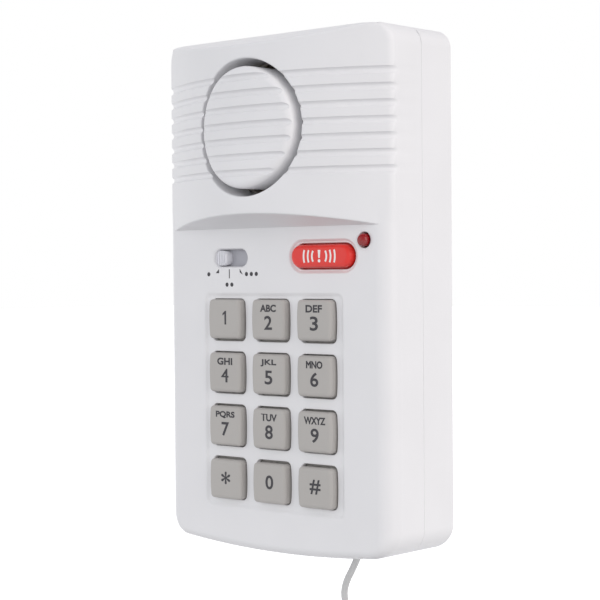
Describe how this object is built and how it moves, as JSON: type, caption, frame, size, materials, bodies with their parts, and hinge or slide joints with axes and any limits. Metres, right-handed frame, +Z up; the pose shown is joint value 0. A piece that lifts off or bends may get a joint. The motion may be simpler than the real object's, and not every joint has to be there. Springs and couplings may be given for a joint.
{
  "type": "alarm keypad panel",
  "caption": "Wall-mounted door alarm with a grooved crowned siren panel, telephone-style keypad, red panic button, mode slide, status lamp and a wired door contact.",
  "frame": {"origin": "on the back face of the rear cover, where the case rests on the wall, midway across it and at mid height", "axes": "+Z up along the case's height, +Y out of the back face into the wall so the front faces -Y, +X to the right as seen from the front"},
  "size_m": [0.084, 0.0411, 0.2097],
  "materials": {
    "cover_white": "fine satin moulded ABS",
    "rear_white": "fine satin moulded ABS",
    "door_white": "fine satin moulded ABS",
    "cell_wrap": "printed film sleeve",
    "contact_steel": "nickel-plated spring steel",
    "board_green": "solder mask on glass-fibre board",
    "screw_steel": "zinc-plated steel",
    "mat_rubber": "matt silicone rubber",
    "siren_grey": "moulded plastic",
    "piezo_brass": "thin brass disc with a ceramic face",
    "chip_black": "moulded epoxy",
    "capacitor_sleeve": "shrunk film sleeve",
    "key_grey": "warm grey satin plastic",
    "panic_red": "glossy red plastic",
    "switch_black": "moulded plastic",
    "switch_metal": "folded steel can",
    "knob_white": "satin plastic",
    "led_red": "clear red epoxy lens",
    "lead_grey": "soft PVC sheath",
    "gland_rubber": "soft grommet rubber",
    "tie_white": "plastic band",
    "sensor_white": "fine satin moulded ABS",
    "reed_glass": "sealed glass capsule"
  },
  "bodies": {
    "case": {"front_cover": "cover_white", "rear_cover": "rear_white", "battery_1": "cell_wrap", "battery_2": "cell_wrap", "battery_3": "cell_wrap", "battery_4": "cell_wrap", "battery_spring_1": "contact_steel", "battery_spring_2": "contact_steel", "battery_spring_3": "contact_steel", "battery_spring_4": "contact_steel", "contact_top_positive": "contact_steel", "contact_top_bridge": "contact_steel", "contact_top_negative": "contact_steel", "contact_low_bridge_left": "contact_steel", "contact_low_bridge_right": "contact_steel", "main_board": "board_green", "board_screw_1": "screw_steel", "board_screw_2": "screw_steel", "board_screw_3": "screw_steel", "board_screw_4": "screw_steel", "case_screw_1": "screw_steel", "case_screw_2": "screw_steel", "case_screw_3": "screw_steel", "case_screw_4": "screw_steel", "key_mat": "mat_rubber", "siren_cup": "siren_grey", "siren_piezo": "piezo_brass", "controller_chip": "chip_black", "step_up_coil": "chip_black", "capacitor": "capacitor_sleeve", "panic_switch": "switch_black", "led_spacer": "switch_black", "mode_switch": "switch_metal", "status_led": "led_red", "sensor_lead": "lead_grey", "sensor_tail": "lead_grey", "lead_hank": "lead_grey", "lead_gland": "gland_rubber", "lead_tie": "tie_white", "sensor_case": "sensor_white", "sensor_base": "sensor_white", "reed_switch": "reed_glass"},
    "key_1_body": {"key_1": "key_grey"},
    "key_2_body": {"key_2": "key_grey"},
    "key_3_body": {"key_3": "key_grey"},
    "key_4_body": {"key_4": "key_grey"},
    "key_5_body": {"key_5": "key_grey"},
    "key_6_body": {"key_6": "key_grey"},
    "key_7_body": {"key_7": "key_grey"},
    "key_8_body": {"key_8": "key_grey"},
    "key_9_body": {"key_9": "key_grey"},
    "key_star_body": {"key_star": "key_grey"},
    "key_0_body": {"key_0": "key_grey"},
    "key_hash_body": {"key_hash": "key_grey"},
    "panic_body": {"panic_button": "panic_red"},
    "mode_knob_body": {"mode_knob": "knob_white"},
    "battery_door_body": {"battery_door": "door_white"}
  },
  "joints": [
    {"name": "key_1_press", "type": "slide", "parent": "case", "child": "key_1_body", "axis": [0, 1, 0], "range_m": [0, 0.0012], "stiffness_N_per_m": 900},
    {"name": "key_2_press", "type": "slide", "parent": "case", "child": "key_2_body", "axis": [0, 1, 0], "range_m": [0, 0.0012], "stiffness_N_per_m": 900},
    {"name": "key_3_press", "type": "slide", "parent": "case", "child": "key_3_body", "axis": [0, 1, 0], "range_m": [0, 0.0012], "stiffness_N_per_m": 900},
    {"name": "key_4_press", "type": "slide", "parent": "case", "child": "key_4_body", "axis": [0, 1, 0], "range_m": [0, 0.0012], "stiffness_N_per_m": 900},
    {"name": "key_5_press", "type": "slide", "parent": "case", "child": "key_5_body", "axis": [0, 1, 0], "range_m": [0, 0.0012], "stiffness_N_per_m": 900},
    {"name": "key_6_press", "type": "slide", "parent": "case", "child": "key_6_body", "axis": [0, 1, 0], "range_m": [0, 0.0012], "stiffness_N_per_m": 900},
    {"name": "key_7_press", "type": "slide", "parent": "case", "child": "key_7_body", "axis": [0, 1, 0], "range_m": [0, 0.0012], "stiffness_N_per_m": 900},
    {"name": "key_8_press", "type": "slide", "parent": "case", "child": "key_8_body", "axis": [0, 1, 0], "range_m": [0, 0.0012], "stiffness_N_per_m": 900},
    {"name": "key_9_press", "type": "slide", "parent": "case", "child": "key_9_body", "axis": [0, 1, 0], "range_m": [0, 0.0012], "stiffness_N_per_m": 900},
    {"name": "key_star_press", "type": "slide", "parent": "case", "child": "key_star_body", "axis": [0, 1, 0], "range_m": [0, 0.0012], "stiffness_N_per_m": 900},
    {"name": "key_0_press", "type": "slide", "parent": "case", "child": "key_0_body", "axis": [0, 1, 0], "range_m": [0, 0.0012], "stiffness_N_per_m": 900},
    {"name": "key_hash_press", "type": "slide", "parent": "case", "child": "key_hash_body", "axis": [0, 1, 0], "range_m": [0, 0.0012], "stiffness_N_per_m": 900},
    {"name": "panic_press", "type": "slide", "parent": "case", "child": "panic_body", "axis": [0, 1, 0], "range_m": [0, 0.0011], "stiffness_N_per_m": 1500},
    {"name": "mode_slide", "type": "slide", "parent": "case", "child": "mode_knob_body", "axis": [1, 0, 0], "range_m": [0, 0.007]},
    {"name": "battery_door_hinge", "type": "hinge", "parent": "case", "child": "battery_door_body", "pos_m": [0, 0, -0.0046], "axis": [1, 0, 0], "range_deg": [0, 70]}
  ]
}
